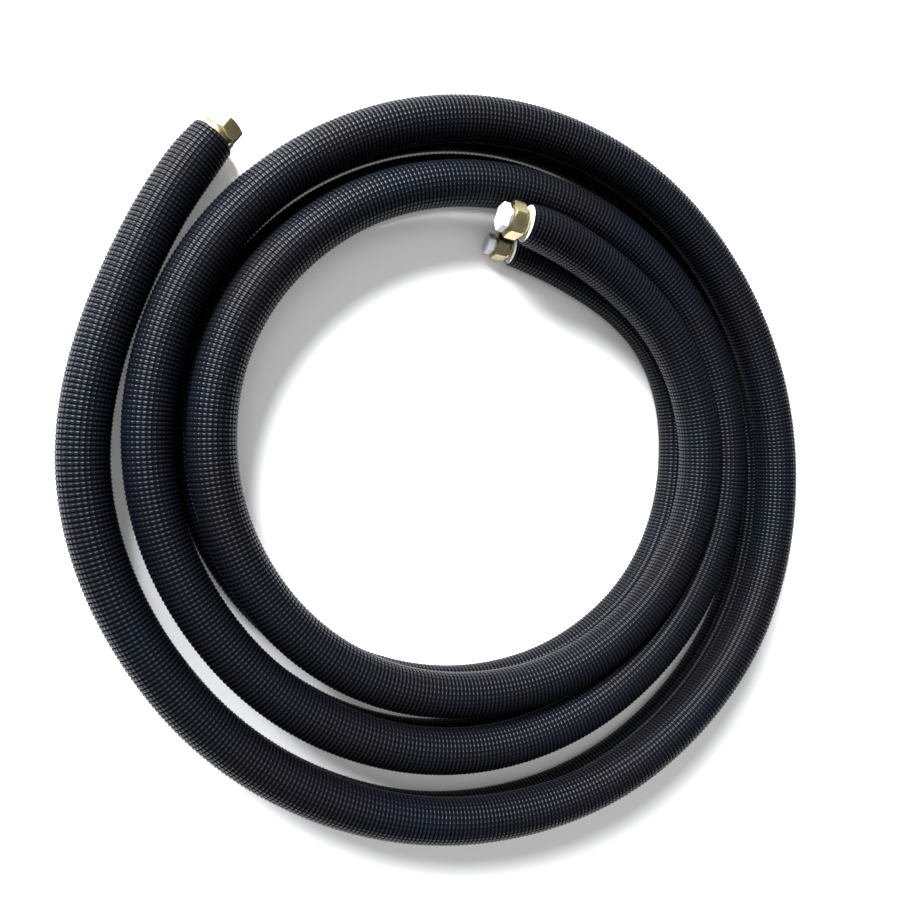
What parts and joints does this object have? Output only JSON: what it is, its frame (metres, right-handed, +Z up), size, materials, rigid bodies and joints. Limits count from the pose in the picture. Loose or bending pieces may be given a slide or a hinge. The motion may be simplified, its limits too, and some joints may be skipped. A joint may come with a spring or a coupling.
{
  "type": "refrigerant line set",
  "caption": "Insulated copper refrigerant pipes wound together into a flat coil, with a brass flare nut at each pipe end, for joining the units of a split air conditioner.",
  "frame": {"origin": "on the floor, under the middle of the coil's bounding box", "axes": "+Z up, +Y the way in which the coil's outer end points, +X to the right of it"},
  "size_m": [0.5376, 0.4972, 0.071],
  "materials": {
    "copper": "bright drawn copper",
    "jacket": "ribbed dark film over foam",
    "brass": "machined, satin",
    "plug": "smooth white"
  },
  "bodies": {
    "lines": {"suction_pipe": "copper", "suction_insulation": "jacket", "liquid_pipe": "copper", "liquid_insulation": "jacket"},
    "suction_nut_outer": {"suction_flare_nut_outer": "brass"},
    "suction_nut_inner": {"suction_flare_nut_inner": "brass", "suction_plug_inner": "plug"},
    "liquid_nut_outer": {"liquid_flare_nut_outer": "brass"},
    "liquid_nut_inner": {"liquid_flare_nut_inner": "brass", "liquid_plug_inner": "plug"}
  },
  "joints": [
    {"name": "suction_outer_nut_turn", "type": "hinge", "parent": "lines", "child": "suction_nut_outer", "pos_m": [-0.25372, 0.05397, 0.04031], "axis": [0, 1, 0], "continuous": true},
    {"name": "suction_inner_nut_turn", "type": "hinge", "parent": "lines", "child": "suction_nut_inner", "pos_m": [-0.08187, 0.13661, 0.056], "axis": [-0.883, -0.4694, 0], "continuous": true},
    {"name": "liquid_outer_nut_turn", "type": "hinge", "parent": "lines", "child": "liquid_nut_outer", "pos_m": [-0.25372, 0.05397, 0.01248], "axis": [0, 1, 0], "continuous": true},
    {"name": "liquid_inner_nut_turn", "type": "hinge", "parent": "lines", "child": "liquid_nut_inner", "pos_m": [-0.07013, 0.13587, 0.01247], "axis": [-0.8816, -0.4721, 0], "continuous": true}
  ]
}
